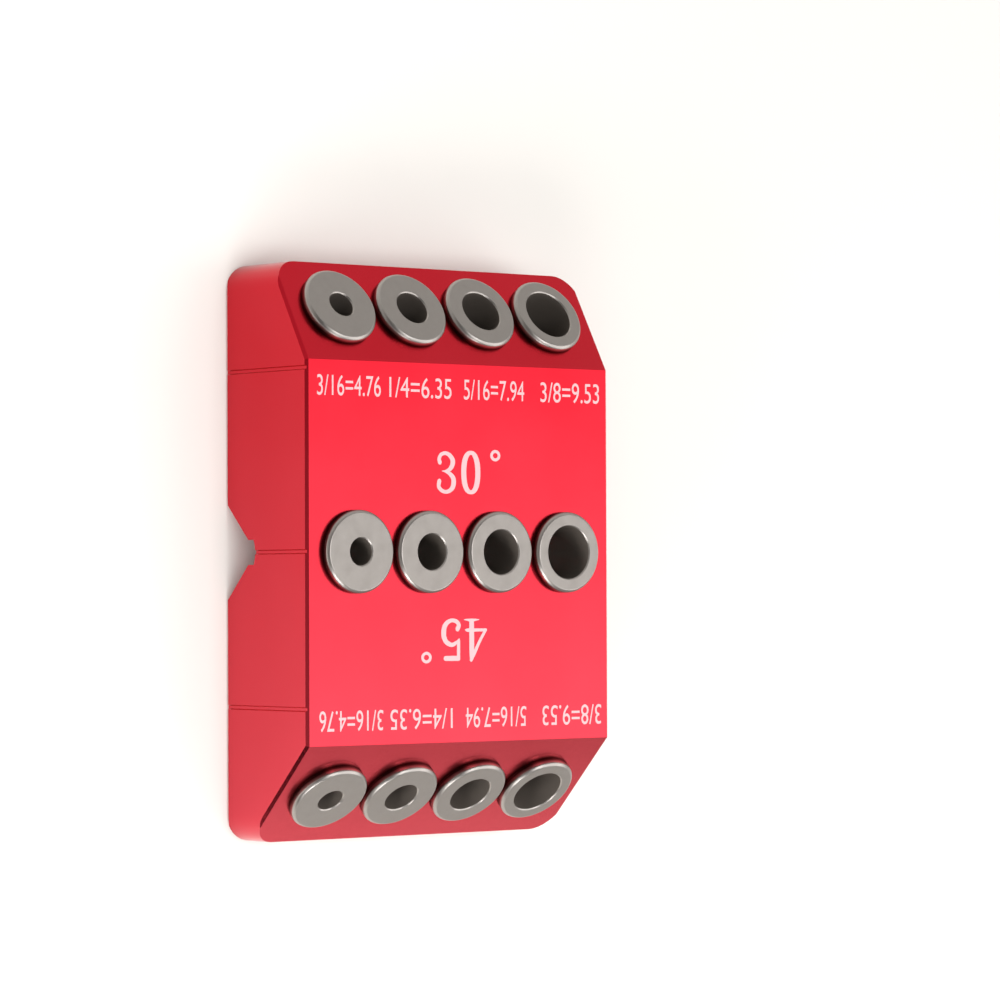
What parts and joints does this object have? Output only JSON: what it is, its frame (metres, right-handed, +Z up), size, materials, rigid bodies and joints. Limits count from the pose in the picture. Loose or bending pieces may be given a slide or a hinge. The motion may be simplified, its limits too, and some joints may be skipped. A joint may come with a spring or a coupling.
{
  "type": "angle drill guide",
  "caption": "Metal drill guide block with flanged steel bushings that hold a drill upright or at 30 or 45 degrees, and a V-groove across its base to seat it on a round or square post.",
  "frame": {"origin": "middle of the flat base, in the plane that it rests on", "axes": "+Z up through the upright bushings, +Y along the block towards the 30 degree face, +X along the rows towards the widest bores"},
  "size_m": [0.0686, 0.1022, 0.0256],
  "materials": {
    "anodised_block": "red anodised, satin",
    "bushing_steel": "turned and hardened, bare"
  },
  "bodies": {
    "root": {"guide_block": "anodised_block", "bushing_30deg_3_16in": "bushing_steel", "bushing_30deg_1_4in": "bushing_steel", "bushing_30deg_5_16in": "bushing_steel", "bushing_30deg_3_8in": "bushing_steel", "bushing_90deg_3_16in": "bushing_steel", "bushing_90deg_1_4in": "bushing_steel", "bushing_90deg_5_16in": "bushing_steel", "bushing_90deg_3_8in": "bushing_steel", "bushing_45deg_3_16in": "bushing_steel", "bushing_45deg_1_4in": "bushing_steel", "bushing_45deg_5_16in": "bushing_steel", "bushing_45deg_3_8in": "bushing_steel"}
  },
  "joints": []
}
